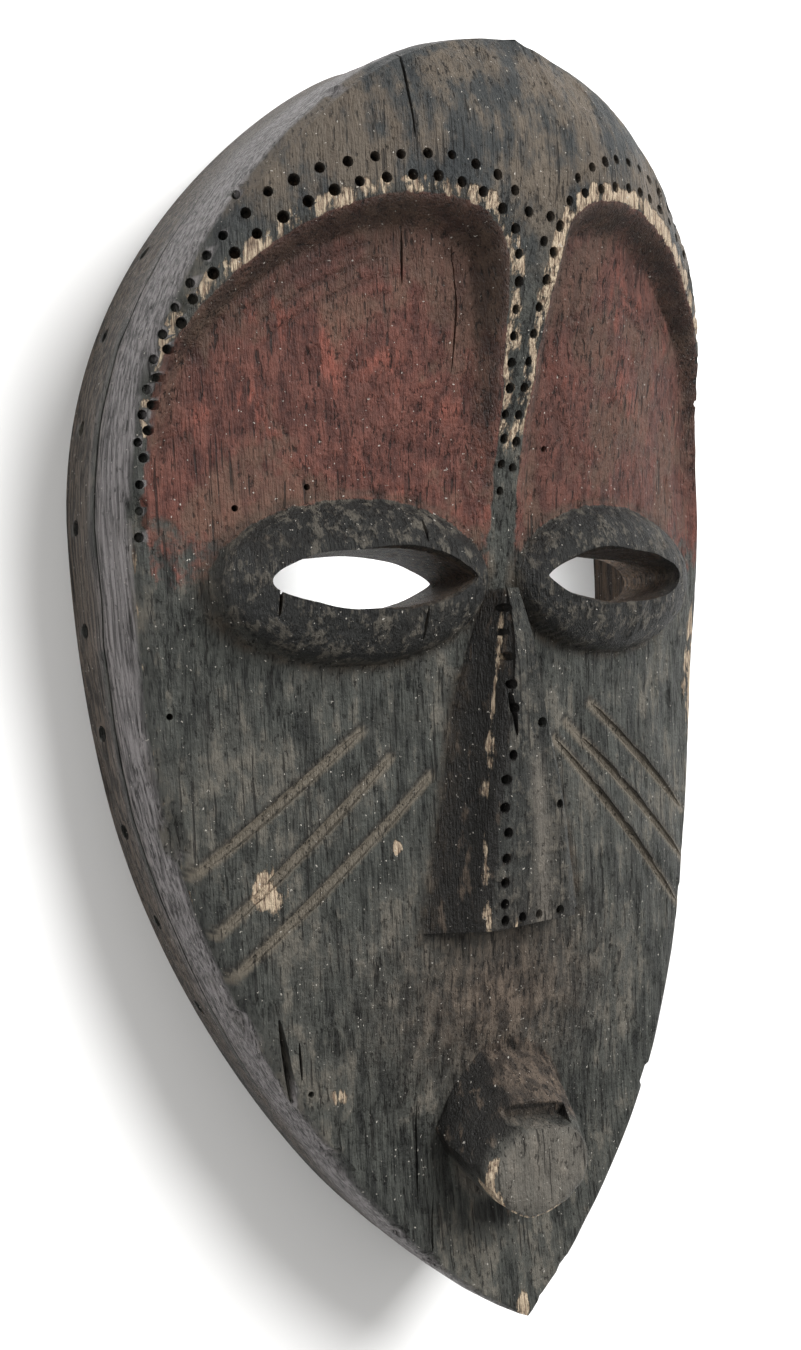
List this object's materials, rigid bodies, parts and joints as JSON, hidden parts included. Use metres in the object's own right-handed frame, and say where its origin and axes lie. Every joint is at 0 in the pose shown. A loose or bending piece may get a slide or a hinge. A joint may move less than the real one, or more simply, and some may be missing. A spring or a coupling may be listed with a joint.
{
  "type": "carved wooden face mask",
  "caption": "Long oval wooden face mask with a hollow back, scooped forehead lobes, slotted raised eyes, a wedge nose and a snout mouth.",
  "frame": {"origin": "on the surface that the mask lies on, under the middle of its outline", "axes": "+Y towards the crown, +Z out of the face, +X to the right of someone who looks at the face"},
  "size_m": [0.2264, 0.4144, 0.0971],
  "materials": {
    "painted_wood": "worn charcoal paint with brick-red forehead lobes, bare tan wood where it is rubbed through"
  },
  "bodies": {
    "root": {"carved_mask": "painted_wood"}
  },
  "joints": []
}
